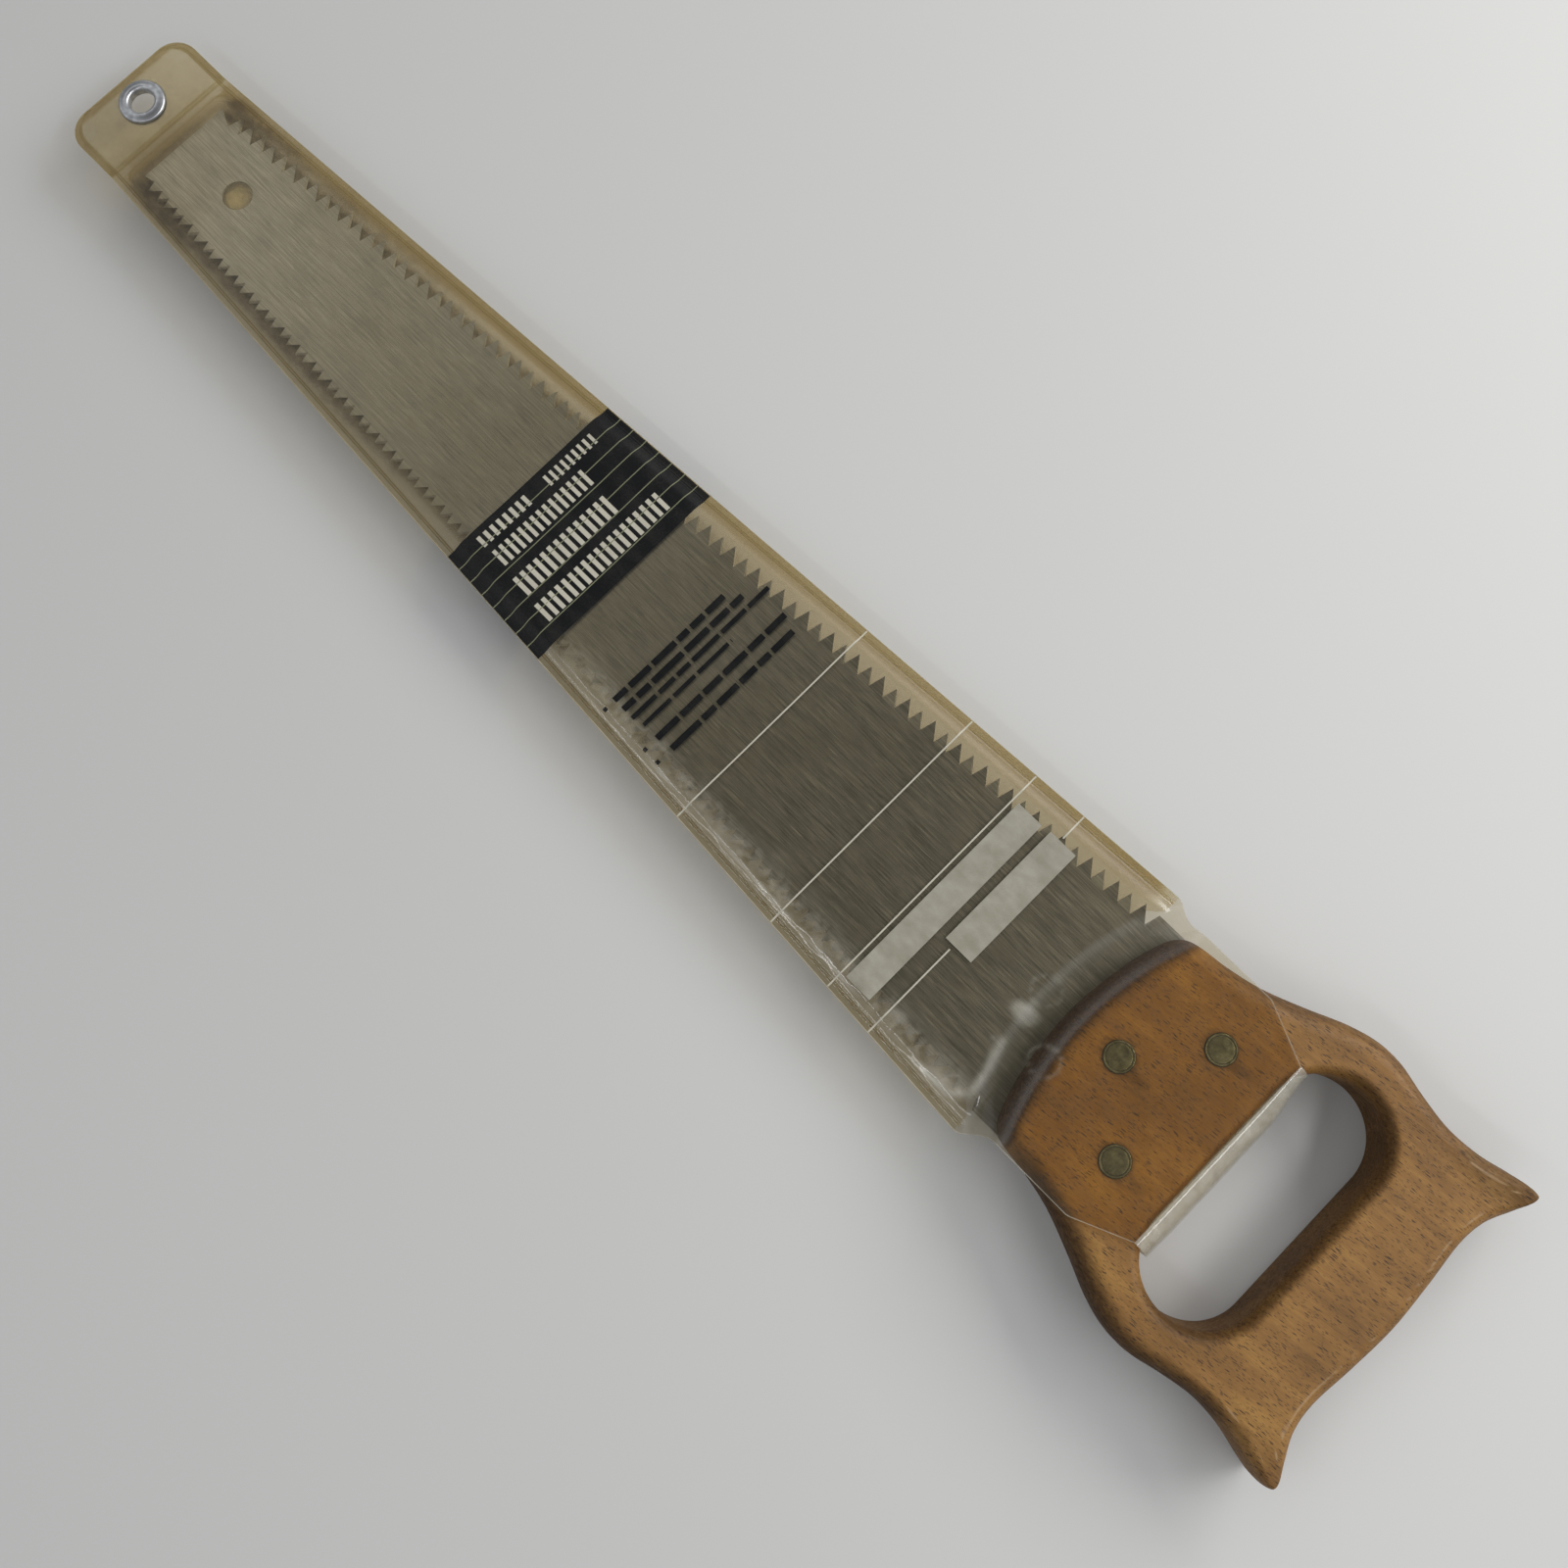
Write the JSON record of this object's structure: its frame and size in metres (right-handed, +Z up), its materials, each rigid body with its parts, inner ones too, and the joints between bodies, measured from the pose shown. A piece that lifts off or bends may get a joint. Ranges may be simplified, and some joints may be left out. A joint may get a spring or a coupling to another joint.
{
  "type": "pruning saw",
  "caption": "Double-edged pruning saw: straight plate with coarse teeth on one edge and fine teeth on the other, wooden D-handle, clear sleeve that slides off the toe.",
  "frame": {"origin": "on the ground under the middle of the whole length, on the saw's centre line", "axes": "+X from the toe towards the handle, +Y towards the coarse teeth, +Z up out of the front of the sleeve"},
  "size_m": [0.5496, 0.1122, 0.0241],
  "materials": {
    "steel": "lengthwise brushed, dulled and grimy at the teeth",
    "beech": "oiled beech, worn and dark on its rounded edges",
    "rivet_metal": "tarnished",
    "vinyl": "clear film, yellowed",
    "eyelet_metal": "satin",
    "paper": "blank paper"
  },
  "bodies": {
    "saw": {"blade": "steel", "handle": "beech", "rivet_front": "rivet_metal", "rivet_coarse_side": "rivet_metal", "rivet_fine_side": "rivet_metal", "rivet_cap_front": "rivet_metal", "rivet_cap_coarse_side": "rivet_metal", "rivet_cap_fine_side": "rivet_metal"},
    "sheath": {"sleeve_front": "vinyl", "sleeve_back": "vinyl", "sleeve_tongue": "vinyl", "sleeve_strap": "vinyl", "eyelet": "eyelet_metal", "eyelet_washer": "eyelet_metal", "label_long_slip": "paper", "label_short_slip": "paper"}
  },
  "joints": [
    {"name": "sheath_slide", "type": "slide", "parent": "saw", "child": "sheath", "axis": [-1, 0, 0], "range_m": [0, 0.46], "deforming": ["sleeve_strap"]}
  ]
}
